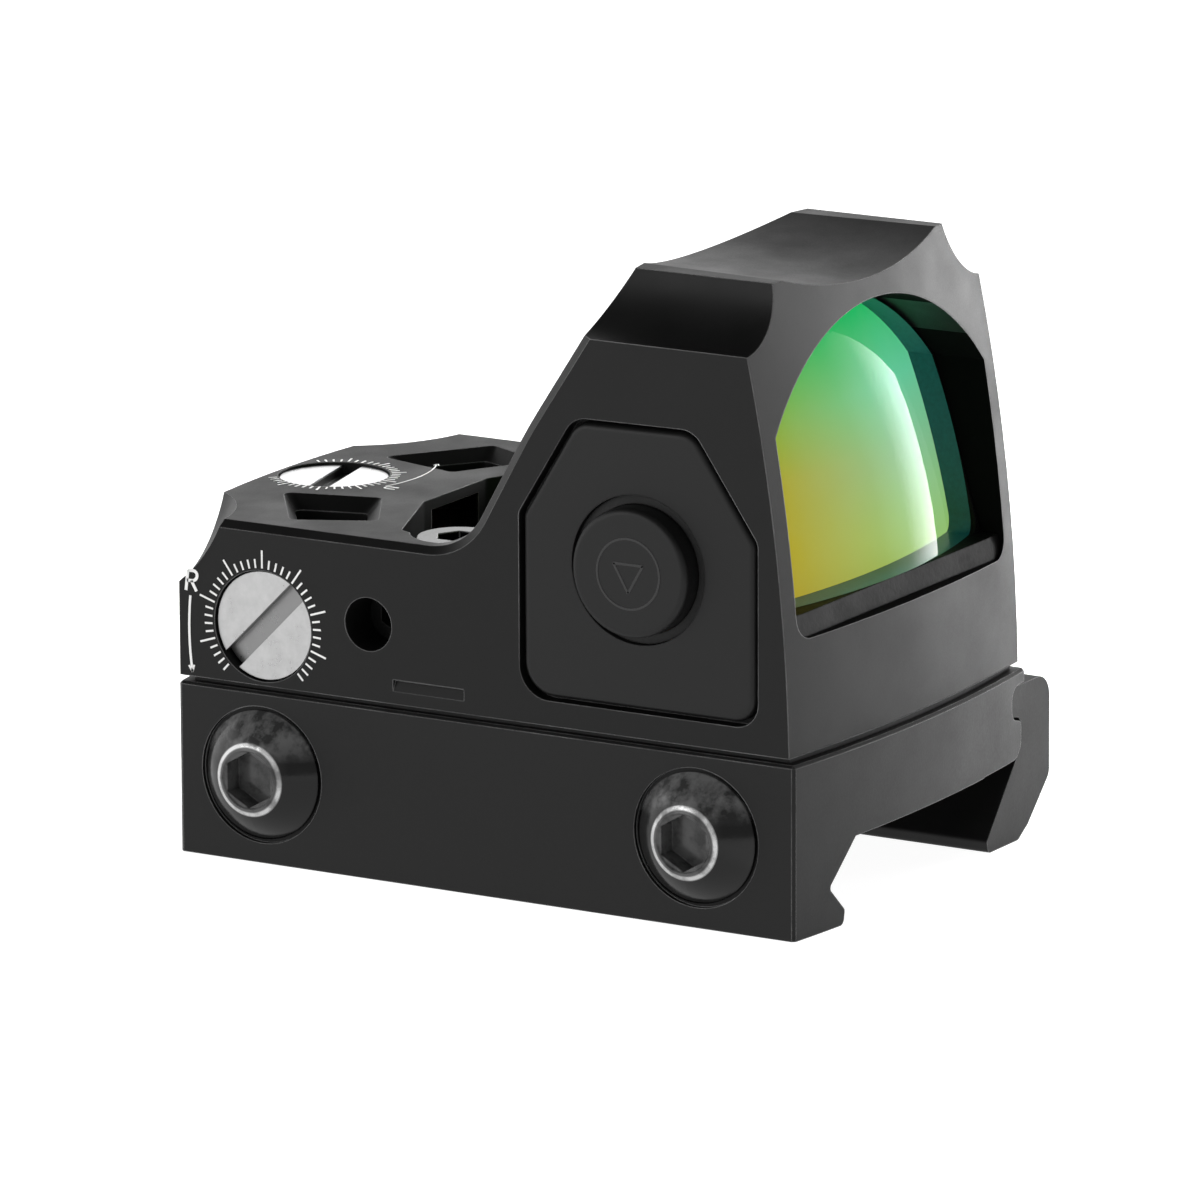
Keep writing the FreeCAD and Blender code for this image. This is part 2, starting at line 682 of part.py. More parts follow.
def windage_carriage():
    """Nut block on the windage screw; its two arms guide the emitter holder."""
    block = box((-3.2, 3.2), (-16.8, -13.35), (7.6, 10.95))
    arms = [box((2.05, 2.65), (-13.4, -11.9), (8.6, 13.4)),
            box((-2.65, -2.05), (-13.4, -11.9), (8.6, 13.4))]
    carriage = union([block] + arms)
    return carriage.cut(cylinder("X", WINDAGE_Y, WINDAGE_Z, THREAD_R + 0.04, -5, 5))


def elevation_yoke():
    """Nut block on the elevation screw with a thin blade reaching forward."""
    block = box((-2.5, 2.5), (-20.4, -17.25), (8.6, 11.9))
    blade = box((-0.9, 0.9), (-17.9, -12.3), (11.55, 11.9))
    yoke = union([block, blade])
    return yoke.cut(cylinder("Z", 0, ELEVATION_Y, THREAD_R + 0.04, 5, 13))


def emitter_holder():
    """Block between the carriage's arms that carries the light source."""
    block = box((-1.98, 1.98), (-13.25, -11.95), (10.4, 14.35))
    slot = box((-1.5, 1.5), (-14, -12.2), (11.51, 11.94))
    pocket = box((-0.85, 0.85), (-12.35, -11), (13.1, 14.25))
    return block.cut(slot).cut(pocket)


def led_emitter():
    """Light chip that makes the red dot."""
    chip = box((-0.8, 0.8), (-12.33, -11.85), (13.15, 14.2))
    lens = Part.makeSphere(0.35, V(0, -11.9, 13.7))
    return union([chip, lens])


def led_flex():
    """Thin flexible circuit from the board to the light chip."""
    low = box((-1.2, 1.2), (-11.85, -8.2), (10.42, 10.42 + FLEX_THICK))
    rise = box((-1.2, 1.2), (-11.85, -11.85 + FLEX_THICK), (10.42, 13.0))
    return union([low, rise])


def detent_parts():
    """Balls that click on the dials, and the springs behind them."""
    dial_back = WINDAGE_FACE - DIAL_THICK
    deck_back = ELEVATION_FACE - DIAL_THICK
    detent_y = WINDAGE_Y + DETENT_RADIUS
    sunk = DETENT_BALL_R + 0.02
    balls = [
        Part.makeSphere(DETENT_BALL_R, V(dial_back - sunk, detent_y, WINDAGE_Z)),
        Part.makeSphere(DETENT_BALL_R, V(DETENT_RADIUS, ELEVATION_Y, deck_back - sunk)),
    ]
    springs = [
        ring("X", detent_y, WINDAGE_Z, 0.22, 0.4, dial_back - 1.28, dial_back - 0.92),
        ring("Z", DETENT_RADIUS, ELEVATION_Y, 0.22, 0.4, deck_back - 1.18, deck_back - 0.92),
    ]
    return Part.makeCompound(balls), Part.makeCompound(springs)


# ---- keypads and buttons (right side; the left is its mirror image) ----------


def keypad():
    """Moulded pad in the side recess, with an opening for the button."""
    floor = HOUSING_HALF - KEYPAD_DEPTH
    pad = prism("X", keypad_corners(0.22), floor + 0.1, KEYPAD_FACE)
    rim = []
    for edge in pad.Edges:
        if edge.BoundBox.XMin > KEYPAD_FACE - 0.01:
            rim.append(edge)
    pad = pad.makeFillet(0.4, rim)
    return pad.cut(cylinder("X", BUTTON_Y, BUTTON_Z, BUTTON_LIP_R, 0, FAR))


def keypad_web():
    """Thin rubber skirt between the pad and the button."""
    return ring("X", BUTTON_Y, BUTTON_Z, BUTTON_R + FIT, BUTTON_LIP_R - FIT, 13.15, 13.4)


def button():
    """Round push button with a soft edge and a stem over the switch."""
    cap = cylinder("X", BUTTON_Y, BUTTON_Z, BUTTON_R, 13.15, BUTTON_FACE)
    rim = [edge for edge in cap.Edges if edge.BoundBox.XMin > BUTTON_FACE - 0.01]
    cap = cap.makeFillet(0.35, rim)
    stem = cylinder("X", BUTTON_Y, BUTTON_Z, 1.2, 12.82, 13.2)
    return union([cap, stem])


def dome_switch():
    """Snap dome under the button."""
    floor = HOUSING_HALF - SWITCH_POCKET_DEPTH + 0.02 + FLEX_THICK
    dome_r = (2.2 ** 2 + 0.4 ** 2) / (2 * 0.4)
    dome = Part.makeSphere(dome_r, V(floor + 0.4 - dome_r, BUTTON_Y, BUTTON_Z))
    return dome.common(box((floor, 14), (0, 20), (5, 25)))


def switch_flex():
    """Thin flexible circuit from the board to the switch."""
    floor = HOUSING_HALF - SWITCH_POCKET_DEPTH + 0.01
    upright = box((floor, floor + FLEX_THICK), (8.6, 12.6), (10.42, 18.2))
    tail = box((8.2, floor + FLEX_THICK), (8.6, 12.6), (10.42, 10.42 + FLEX_THICK))
    return union([upright, tail])


# ---- electronics ------------------------------------------------------------


def pcb_corners(grow):
    """Board outline with a tongue that clears the mounting screws."""
    wide = 9.4 + grow
    narrow = 6.4 + grow
    return [
        (-narrow, -9.2 - grow), (narrow, -9.2 - grow), (narrow, -0.8 - grow),
        (wide, -0.8 - grow), (wide, 14.2 + grow), (-wide, 14.2 + grow),
        (-wide, -0.8 - grow), (-narrow, -0.8 - grow),
    ]


def main_pcb():
    """Circuit board above the battery."""
    return prism("Z", pcb_corners(0.0), PCB_BOTTOM, PCB_BOTTOM + PCB_THICK)


def controller_chip():
    """Processor that sets the brightness."""
    top = PCB_BOTTOM + PCB_THICK
    return box((-2.0, 2.0), (1.0, 5.0), (top, top + 0.75))


def battery():
    """Coin cell: can with a smaller cap on top."""
    can = cylinder("Z", 0, BATTERY_Y, BATTERY_R, BATTERY_BOTTOM, BATTERY_BOTTOM + 2.9)
    cap = cylinder("Z", 0, BATTERY_Y, 8.7, BATTERY_BOTTOM + 2.9, BATTERY_BOTTOM + BATTERY_THICK)
    return union([can, cap])


def battery_contact_top():
    """Leaf spring on the cell's cap."""
    top = BATTERY_BOTTOM + BATTERY_THICK
    leaf = box((-1.5, 1.5), (4.0, 10.0), (top + 0.02, top + 0.22))
    foot = box((-1.5, 1.5), (9.8, 10.0), (top + 0.1, PCB_BOTTOM))
    pad = box((-1.5, 1.5), (9.0, 10.0), (PCB_BOTTOM - 0.2, PCB_BOTTOM))
    return union([leaf, foot, pad])


def battery_contact_side():
    """Clip on the rim of the cell."""
    rim_y = BATTERY_Y - BATTERY_R - 0.02
    upright = box((-1.0, 1.0), (rim_y - 0.15, rim_y), (6.0, PCB_BOTTOM))
    pad = box((-1.0, 1.0), (rim_y - 0.15, rim_y + 1.0), (PCB_BOTTOM - 0.2, PCB_BOTTOM))
    return union([upright, pad])


# ---- fasteners --------------------------------------------------------------


def mounting_screws():
    """Two M3 socket-head screws that hold the housing down."""
    screws = []
    for side in (-1, 1):
        x = side * MOUNT_SCREW_X
        top = MOUNT_HEAD_BOTTOM + MOUNT_HEAD_TALL
        head = cylinder("Z", x, MOUNT_SCREW_Y, MOUNT_HEAD_R, MOUNT_HEAD_BOTTOM, top)
        rim = [edge for edge in head.Edges if edge.BoundBox.ZMin > top - 0.01]
        head = head.makeChamfer(0.3, rim)
        shank = cylinder("Z", x, MOUNT_SCREW_Y, MOUNT_SHANK_R, 1.0, MOUNT_HEAD_BOTTOM)
        socket = socket_hex("Z", x, MOUNT_SCREW_Y, 2.5, top - 1.6, top + 1)
        screws.append(union([head, shank]).cut(socket))
    return Part.makeCompound(screws)


def locating_pins():
    """Two dowels that line the housing up with the base."""
    pins = []
    for side in (-1, 1):
        pins.append(cylinder("Z", side * DOWEL_X, DOWEL_Y, DOWEL_R,
                             DOWEL_BOTTOM, DOWEL_TOP))
    return Part.makeCompound(pins)


def lock_set_screw():
    """Headless screw deep in the hole on the right side."""
    screw = cylinder("X", LOCK_Y, LOCK_Z, LOCK_HOLE_R - 0.05, LOCK_FLOOR + 0.05, LOCK_END)
    return screw.cut(socket_hex("X", LOCK_Y, LOCK_Z, 1.5, LOCK_END - 1.0, FAR))


# ---- every piece ------------------------------------------------------------


def pieces():
    """Each node's name with its solid or group of solids."""
    balls, ball_springs = detent_parts()
    found = {
        "base_mount": base_mount(),
        "clamp_jaw": clamp_jaw(),
        "clamp_screw_rear": clamp_screw(CLAMP_Y_REAR),
        "clamp_screw_front": clamp_screw(CLAMP_Y_FRONT),
        "base_gasket": base_gasket(),
        "locating_pins": locating_pins(),
        "mounting_screws": mounting_screws(),
        "lock_set_screw": lock_set_screw(),
        "housing": housing(),
        "lens_front": lens_front(),
        "lens_rear": lens_rear(),
        "lens_seal": lens_seal(),
        "emitter_window": emitter_window(),
        "windage_screw": windage_screw(),
        "windage_clip": retaining_clip("X", WINDAGE_Y, WINDAGE_Z, CHAMBER_HALF),
        "windage_ring": seal_ring("X", WINDAGE_Y, WINDAGE_Z, WINDAGE_RING_X),
        "windage_carriage": windage_carriage(),
        "windage_spring": coil_spring("X", WINDAGE_Y, WINDAGE_Z, -8.75, -3.25, 6),
        "elevation_screw": elevation_screw(),
        "elevation_clip": retaining_clip("Z", 0, ELEVATION_Y, CHAMBER_TOP),
        "elevation_ring": seal_ring("Z", 0, ELEVATION_Y, ELEVATION_RING_Z),
        "elevation_yoke": elevation_yoke(),
        "elevation_spring": coil_spring("Z", 0, ELEVATION_Y, 5.5, 8.55, 3),
        "emitter_holder": emitter_holder(),
        "led_emitter": led_emitter(),
        "led_flex": led_flex(),
        "detent_balls": balls,
        "detent_springs": ball_springs,
        "battery": battery(),
        "battery_contact_top": battery_contact_top(),
        "battery_contact_side": battery_contact_side(),
        "main_pcb": main_pcb(),
        "controller_chip": controller_chip(),
    }
    side_pieces = {
        "keypad": keypad(),
        "keypad_web": keypad_web(),
        "button": button(),
        "dome_switch": dome_switch(),
        "switch_flex": switch_flex(),
    }
    for name, shape in side_pieces.items():
        found[name + "_right"] = shape
        found[name + "_left"] = mirrored(shape)
    return found


os.makedirs("parts", exist_ok=True)
for name, shape in pieces().items():
    shape.exportStep("parts/%s.step" % name)
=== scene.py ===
import math

import bmesh
import bpy
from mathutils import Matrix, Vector


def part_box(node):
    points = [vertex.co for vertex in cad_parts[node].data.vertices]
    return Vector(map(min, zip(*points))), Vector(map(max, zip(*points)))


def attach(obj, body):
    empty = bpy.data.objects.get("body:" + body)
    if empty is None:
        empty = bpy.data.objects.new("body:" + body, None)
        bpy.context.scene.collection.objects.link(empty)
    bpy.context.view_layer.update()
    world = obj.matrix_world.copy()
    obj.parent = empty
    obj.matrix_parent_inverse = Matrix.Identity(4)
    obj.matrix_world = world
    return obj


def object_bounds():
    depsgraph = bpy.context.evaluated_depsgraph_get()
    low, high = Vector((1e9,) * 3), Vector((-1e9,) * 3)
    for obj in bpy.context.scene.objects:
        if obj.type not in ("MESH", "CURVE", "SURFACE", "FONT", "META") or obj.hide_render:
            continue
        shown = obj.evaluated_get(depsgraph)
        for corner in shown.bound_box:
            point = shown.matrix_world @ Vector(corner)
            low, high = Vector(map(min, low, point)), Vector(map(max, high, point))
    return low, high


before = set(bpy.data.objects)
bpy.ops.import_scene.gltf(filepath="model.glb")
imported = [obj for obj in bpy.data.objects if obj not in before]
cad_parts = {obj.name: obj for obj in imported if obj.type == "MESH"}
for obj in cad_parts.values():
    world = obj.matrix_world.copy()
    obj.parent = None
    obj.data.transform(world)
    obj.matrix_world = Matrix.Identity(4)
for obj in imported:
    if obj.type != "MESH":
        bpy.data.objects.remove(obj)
cad_low, cad_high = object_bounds()

MM = 0.001
BODY = "sight_body"

# ---- camera, floor and light ------------------------------------------------

CAMERA_AZIMUTH = 120.76
CAMERA_ELEVATION = 13.05
CAMERA_DISTANCE = 0.6464
CAMERA_ROLL = -0.25
CAMERA_LENS = 324.3
PIVOT = Vector((0.0, 0.0, 0.01377))
AIM = Vector((0.0008, 0.0003, 0.01019))


def direction(azimuth, elevation):
    """Unit vector from the object towards a place at that azimuth and elevation."""
    around = math.radians(azimuth - 90.0)
    up = math.radians(elevation)
    flat = math.cos(up)
    return Vector((math.cos(around) * flat, math.sin(around) * flat, math.sin(up)))


def make_camera():
    """Camera at the viewing angle, with a long lens."""
    data = bpy.data.cameras.new("camera")
    data.lens = CAMERA_LENS
    data.sensor_width = 36.0
    data.clip_start = 0.01
    camera = bpy.data.objects.new("camera", data)
    bpy.context.scene.collection.objects.link(camera)
    camera.location = PIVOT + direction(CAMERA_AZIMUTH, CAMERA_ELEVATION) * CAMERA_DISTANCE
    facing = (AIM - camera.location).to_track_quat("-Z", "Y").to_euler()
    camera.rotation_euler = facing
    camera.rotation_euler.rotate_axis("Z", math.radians(CAMERA_ROLL))
    bpy.context.scene.camera = camera


def make_floor():
    """Plain pale table under the object; the white room goes on behind it."""
    half = 0.13
    corners = [(-half, -half), (half, -half), (half, half), (-half, half)]
    mesh = bpy.data.meshes.new("floor")
    mesh.from_pydata([(x, y, cad_low[2]) for x, y in corners], [], [(0, 1, 2, 3)])
    floor = bpy.data.objects.new("floor", mesh)
    bpy.context.scene.collection.objects.link(floor)
    material = bpy.data.materials.new("floor_paper")
    material.use_nodes = True
    shader = material.node_tree.nodes["Principled BSDF"]
    shader.inputs["Base Color"].default_value = (0.35, 0.35, 0.35, 1)
    shader.inputs["Roughness"].default_value = 0.9
    shader.inputs["Specular IOR Level"].default_value = 0.1
    shader.inputs["Emission Color"].default_value = (1, 1, 1, 1)
    shader.inputs["Emission Strength"].default_value = 0.95
    mesh.materials.append(material)


def make_world():
    """Studio that is bright behind the object, dim in front of it and dark overhead."""
    world = bpy.data.worlds.new("studio")
    bpy.context.scene.world = world
    world.use_nodes = True
    tree = world.node_tree
    split = tree.nodes.new("ShaderNodeSeparateXYZ")
    tree.links.new(tree.nodes.new("ShaderNodeTexCoord").outputs["Generated"], split.inputs[0])
    by_height = tree.nodes.new("ShaderNodeValToRGB")
    paint_stops(by_height, [(0.0, (1, 1, 1)), (0.35, (1, 1, 1)),
                            (0.6, (0.05, 0.05, 0.05)), (1.0, (0.01, 0.01, 0.01))])
    tree.links.new(split.outputs["Z"], by_height.inputs["Fac"])
    forward = tree.nodes.new("ShaderNodeMapRange")
    for socket, number in {"From Min": -0.3, "From Max": 0.5, "To Min": 1.6, "To Max": 0.5}.items():
        forward.inputs[socket].default_value = number
    tree.links.new(split.outputs["Y"], forward.inputs["Value"])
    background = tree.nodes["Background"]
    tree.links.new(by_height.outputs["Color"], background.inputs["Color"])
    tree.links.new(forward.outputs["Result"], background.inputs["Strength"])


def make_area_light(name, azimuth, elevation, distance, width, height, power):
    """Soft rectangular light facing the object."""
    data = bpy.data.lights.new(name, "AREA")
    data.shape = "RECTANGLE"
    data.size = width
    data.size_y = height
    data.energy = power
    light = bpy.data.objects.new(name, data)
    bpy.context.scene.collection.objects.link(light)
    light.location = PIVOT + direction(azimuth, elevation) * distance
    light.rotation_euler = (PIVOT - light.location).to_track_quat("-Z", "Y").to_euler()
    return light


def fade_across(light, stops):
    """Make a light's strength vary from one upright edge to the other."""
    light.data.use_nodes = True
    tree = light.data.node_tree
    split = tree.nodes.new("ShaderNodeSeparateXYZ")
    ramp = tree.nodes.new("ShaderNodeValToRGB")
    paint_stops(ramp, [(place, grey(level)[:3]) for place, level in stops])
    parametric = tree.nodes.new("ShaderNodeNewGeometry").outputs["Parametric"]
    tree.links.new(parametric, split.inputs[0])
    tree.links.new(split.outputs["X"], ramp.inputs["Fac"])
    tree.links.new(ramp.outputs["Color"], tree.nodes["Emission"].inputs["Strength"])


def make_lights():
    """Front softbox that the lens and front face mirror, and a fill on each side."""
    softbox = make_area_light("front_softbox", 243.0, 1.0, 0.8, 0.24, 0.46, 11.0)
    fade_across(softbox, [(0.0, 0.01), (0.45, 0.15), (0.75, 0.6), (1.0, 1.0)])
    make_area_light("top_fill", 150.0, 72.0, 1.2, 0.7, 0.7, 3.0).visible_glossy = False
    make_area_light("side_softbox", 58.0, 20.0, 0.9, 0.42, 0.30, 0.8)
    floor_wash = make_area_light("floor_wash", 262.0, 30.0, 0.115, 0.03, 0.03, 0.5)
    floor_wash.rotation_euler = (0.0, 0.0, 0.0)
    floor_wash.visible_glossy = False


# ---- materials --------------------------------------------------------------


class Nodes:
    """Short way to add nodes to one material and link them."""

    def __init__(self, name):
        self.material = bpy.data.materials.new(name)
        self.material.use_nodes = True
        self.tree = self.material.node_tree
        self.shader = self.tree.nodes["Principled BSDF"]

    def add(self, kind, **settings):
        node = self.tree.nodes.new("ShaderNode" + kind)
        for key, value in settings.items():
            setattr(node, key, value)
        return node

    def link(self, output, node, socket):
        self.tree.links.new(output, node.inputs[socket])

    def position(self):
        """Place on the object, in metres."""
        return self.add("TexCoord").outputs["Object"]

    def noise(self, size, detail=3.0, roughness=0.6):
        """Noise with features of about that size, in metres."""
        node = self.add("TexNoise")
        node.inputs["Scale"].default_value = 1.0 / size
        node.inputs["Detail"].default_value = detail
        node.inputs["Roughness"].default_value = roughness
        self.link(self.position(), node, "Vector")
        return node.outputs["Fac"]

    def math(self, operation, first, second=0.0, clamp=False):
        node = self.add("Math", operation=operation, use_clamp=clamp)
        for index, value in enumerate((first, second)):
            if isinstance(value, (int, float)):
                node.inputs[index].default_value = value
            else:
                self.link(value, node, index)
        return node.outputs[0]

    def spread(self, value, low, high, new_low, new_high):
        """Map one range of a value onto another."""
        node = self.add("MapRange")
        self.link(value, node, "Value")
        numbers = {"From Min": low, "From Max": high, "To Min": new_low, "To Max": new_high}
        for socket, number in numbers.items():
            node.inputs[socket].default_value = number
        return node.outputs["Result"]

    def mix(self, factor, first, second):
        """Blend of two colours."""
        node = self.add("Mix", data_type="RGBA")
        factor_socket, first_socket, second_socket = node.inputs[0], node.inputs[6], node.inputs[7]
        for socket, value in ((factor_socket, factor), (first_socket, first), (second_socket, second)):
            if isinstance(value, (int, float)):
                socket.default_value = value
            elif isinstance(value, tuple):
                socket.default_value = value
            else:
                self.tree.links.new(value, socket)
        return node.outputs[2]


def grey(level):
    return (level, level, level, 1.0)


def tint(colour, factor):
    """Colour made lighter or darker."""
    return tuple(min(1.0, part * factor) for part in colour[:3]) + (1.0,)


def edge_mask(nodes, radius):
    """Rounded normal near edges, and how much each point is on an edge."""
    rounded = nodes.add("Bevel", samples=4)
    rounded.inputs["Radius"].default_value = radius
    plain = nodes.add("NewGeometry").outputs["Normal"]
    match = nodes.add("VectorMath", operation="DOT_PRODUCT")
    nodes.link(rounded.outputs["Normal"], match, 0)
    nodes.link(plain, match, 1)
    return rounded.outputs["Normal"], nodes.spread(match.outputs["Value"], 0.995, 0.86, 0.0, 1.0)


ARCH_DROOP = 38.0


def inside_window(nodes):
    """How much a point of the housing lies on the walls around the lens that are given painted shade.
    """
    low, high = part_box("lens_front")
    split = nodes.add("SeparateXYZ")
    nodes.link(nodes.position(), split, 0)
    facing = nodes.add("SeparateXYZ")
    nodes.link(nodes.add("NewGeometry").outputs["True Normal"], facing, 0)
    limits = [("X", "GREATER_THAN", low.x - 1.5 * MM), ("X", "LESS_THAN", high.x + 1.5 * MM),
              ("Y", "GREATER_THAN", low.y - 1.0 * MM), ("Z", "GREATER_THAN", low.z - 1.6 * MM)]
    inside = nodes.math("LESS_THAN", nodes.math("ABSOLUTE", facing.outputs["Y"]), 0.8)
    droop = nodes.math("MULTIPLY", split.outputs["X"], split.outputs["X"])
    roof = nodes.math("SUBTRACT", high.z + 0.5 * MM, nodes.math("MULTIPLY", droop, ARCH_DROOP))
    inside = nodes.math("MULTIPLY", inside, nodes.math("LESS_THAN", split.outputs["Z"], roof))
    for letter, test, limit in limits:
        inside = nodes.math("MULTIPLY", inside, nodes.math(test, split.outputs[letter], limit))
    return inside


def surface(name, colour, roughness, metallic=0.0, specular=0.5, grain=0.12, bump=4.0,
            rough_spread=0.06, edge_radius=0.1, edge_colour=None, coat=0.0, window=False):
    """Solid finish; grain and edge radius in mm, bump height in microns."""
    nodes = Nodes(name)
    fine = nodes.noise(grain * MM)
    broad = nodes.noise(5.0 * MM, detail=5.0)
    tone = nodes.mix(broad, tint(colour, 0.8), tint(colour, 1.25))
    rough = nodes.spread(broad, 0.3, 0.7, roughness - rough_spread, roughness + rough_spread)
    speckle = nodes.spread(fine, 0.3, 0.7, -0.03, 0.03)
    rough = nodes.math("ADD", rough, speckle, clamp=True)
    normal, on_edge = edge_mask(nodes, edge_radius * MM)
    # Lighter colour along edges: partly edge wear, partly a painted highlight where edges catch the
    # light.
    if edge_colour:
        edge_wear_and_highlight = nodes.math("MULTIPLY", on_edge, nodes.spread(broad, 0.35, 0.6, 0.35, 1.0))
        tone = nodes.mix(edge_wear_and_highlight, tone, edge_colour)
    relief = nodes.add("Bump")
    relief.inputs["Strength"].default_value = 1.0
    relief.inputs["Distance"].default_value = bump * 1e-6
    nodes.link(fine, relief, "Height")
    nodes.link(normal, relief, "Normal")
    # Painted shade: the walls around the lens are made near black and rough, standing in for the shade
    # inside the window.
    if window:
        window_painted_shade = inside_window(nodes)
        tone = nodes.mix(window_painted_shade, tone, grey(0.002))
        rough = nodes.math("MAXIMUM", rough, nodes.math("MULTIPLY", window_painted_shade, 0.8))
    nodes.link(tone, nodes.shader, "Base Color")
    nodes.link(rough, nodes.shader, "Roughness")
    nodes.link(relief.outputs["Normal"], nodes.shader, "Normal")
    nodes.shader.inputs["Metallic"].default_value = metallic
    nodes.shader.inputs["Specular IOR Level"].default_value = specular
    # The painted shade also takes the gloss off the walls around the lens.
    if window:
        gloss = nodes.spread(window_painted_shade, 0.0, 1.0, specular, 0.03)
        nodes.link(gloss, nodes.shader, "Specular IOR Level")
    nodes.shader.inputs["Coat Weight"].default_value = coat
    nodes.shader.inputs["Coat Roughness"].default_value = 0.12
    return nodes.material


def turned_steel(name, axis, centre, top, brightness):
    """Bright steel with the fine rings of a lathe about one axis; greyer below its top face."""
    nodes = Nodes(name)
    split = nodes.add("SeparateXYZ")
    nodes.link(nodes.position(), split, 0)
    names = [letter for letter in "XYZ" if letter != axis]
    squares = []
    for letter, middle in zip(names, centre):
        offset = nodes.math("SUBTRACT", split.outputs[letter], middle)
        squares.append(nodes.math("MULTIPLY", offset, offset))
    radius = nodes.math("SQRT", nodes.math("ADD", squares[0], squares[1]))
    turns = nodes.math("SINE", nodes.math("MULTIPLY", radius, 2 * math.pi / (0.09 * MM)))
    smear = nodes.noise(0.7 * MM, detail=4.0)
    fine = nodes.noise(0.05 * MM, detail=3.0)
    height = nodes.math("ADD", nodes.math("MULTIPLY", turns, 0.4), fine)
    normal = edge_mask(nodes, 0.07 * MM)[0]
    relief = nodes.add("Bump")
    relief.inputs["Strength"].default_value = 1.0
    relief.inputs["Distance"].default_value = 1.5e-6
    nodes.link(height, relief, "Height")
    nodes.link(normal, relief, "Normal")
    tone = nodes.mix(smear, grey(brightness * 0.8), grey(brightness * 1.2))
    in_slot = nodes.math("LESS_THAN", split.outputs[axis], top - 0.15 * MM)
    tone = nodes.mix(in_slot, tone, grey(0.22))
    nodes.link(tone, nodes.shader, "Base Color")
    nodes.link(nodes.spread(smear, 0.3, 0.7, 0.26, 0.36), nodes.shader, "Roughness")
    nodes.link(relief.outputs["Normal"], nodes.shader, "Normal")
    nodes.shader.inputs["Metallic"].default_value = 1.0
    return nodes.material


def clamp_screw_steel(name, centre):
    """Glossy black screw head whose socket, socket rim and upper head are made bright metal, partly
    wear and partly painted highlight; centre in metres.
    """
    nodes = Nodes(name)
    split = nodes.add("SeparateXYZ")
    nodes.link(nodes.position(), split, 0)
    squares = []
    for letter, middle in zip("YZ", centre):
        offset = nodes.math("SUBTRACT", split.outputs[letter], middle)
        squares.append(nodes.math("MULTIPLY", offset, offset))
    radius = nodes.math("SQRT", nodes.math("ADD", squares[0], squares[1]))
    patches = nodes.noise(1.2 * MM, detail=4.0)
    fine = nodes.noise(0.2 * MM)
    # Bright ring at the socket mouth: partly wear of the black oxide, partly a painted highlight on
    # the rim edge.
    inner = nodes.spread(radius, 1.95 * MM, 2.05 * MM, 0.15, 1.0)
    outer = nodes.spread(radius, 2.3 * MM, 2.2 * MM, 0.0, 1.0)
    rim = nodes.math("MULTIPLY", nodes.math("MULTIPLY", inner, outer),
                     nodes.spread(patches, 0.35, 0.55, 0.4, 1.0))
    # Upper part of the head brighter in patches: painted highlight on the top of the dome, partly
    # rubbing wear.
    height = nodes.math("SUBTRACT", split.outputs["Z"], centre[1])
    upper_head_sheen_and_rub = nodes.math("MULTIPLY", nodes.spread(height, 1.2 * MM, 2.6 * MM, 0.0, 0.3),
                        nodes.spread(patches, 0.4, 0.6, 0.2, 1.0))
    on_head = nodes.math("GREATER_THAN", split.outputs["X"], 0.0)
    bright = nodes.math("MULTIPLY", nodes.math("MAXIMUM", rim, upper_head_sheen_and_rub), on_head)
    normal = edge_mask(nodes, 0.12 * MM)[0]
    relief = nodes.add("Bump")
    relief.inputs["Strength"].default_value = 1.0
    relief.inputs["Distance"].default_value = 3e-6
    nodes.link(fine, relief, "Height")
    nodes.link(normal, relief, "Normal")
    nodes.link(nodes.mix(bright, grey(0.002), grey(0.5)), nodes.shader, "Base Color")
    nodes.link(bright, nodes.shader, "Metallic")
    nodes.link(nodes.spread(patches, 0.3, 0.7, 0.1, 0.22), nodes.shader, "Roughness")
    nodes.link(relief.outputs["Normal"], nodes.shader, "Normal")
    nodes.shader.inputs["Specular IOR Level"].default_value = 0.3
    return nodes.material


def see_through_part(nodes, gloss_roughness, pale, bend):
    """Clear coated glass: light passes straight through, with a fresnel mirror on top."""
    clear = nodes.add("BsdfTransparent")
    clear.inputs["Color"].default_value = pale
    mirror = nodes.add("BsdfGlossy")
    mirror.inputs["Roughness"].default_value = gloss_roughness
    fresnel = nodes.add("Fresnel")
    fresnel.inputs["IOR"].default_value = bend
    outside = nodes.math("SUBTRACT", 1.0, nodes.add("NewGeometry").outputs["Backfacing"])
    both = nodes.add("MixShader")
    nodes.link(nodes.math("MULTIPLY", fresnel.outputs[0], outside), both, 0)
    nodes.link(clear.outputs[0], both, 1)
    nodes.link(mirror.outputs[0], both, 2)
    return both.outputs[0]


def lens_glass(name):
    """Front glass: clear faces and a dark teal ground edge."""
    nodes = Nodes(name)
    glass = see_through_part(nodes, 0.02, (0.97, 1.0, 0.98, 1), 1.11)
    split = nodes.add("SeparateXYZ")
    nodes.link(nodes.add("NewGeometry").outputs["True Normal"], split, 0)
    facing = nodes.math("ABSOLUTE", split.outputs["Y"])
    on_edge = nodes.math("LESS_THAN", facing, 0.4)
    frost = nodes.noise(0.3 * MM)
    tone = nodes.mix(frost, (0.004, 0.05, 0.06, 1), (0.012, 0.12, 0.14, 1))
    nodes.link(tone, nodes.shader, "Base Color")
    nodes.shader.inputs["Roughness"].default_value = 0.35
    choose = nodes.add("MixShader")
    nodes.link(on_edge, choose, 0)
    nodes.link(glass, choose, 1)
    nodes.link(nodes.shader.outputs[0], choose, 2)
    nodes.link(choose.outputs[0], nodes.tree.nodes["Material Output"], "Surface")
    return nodes.material


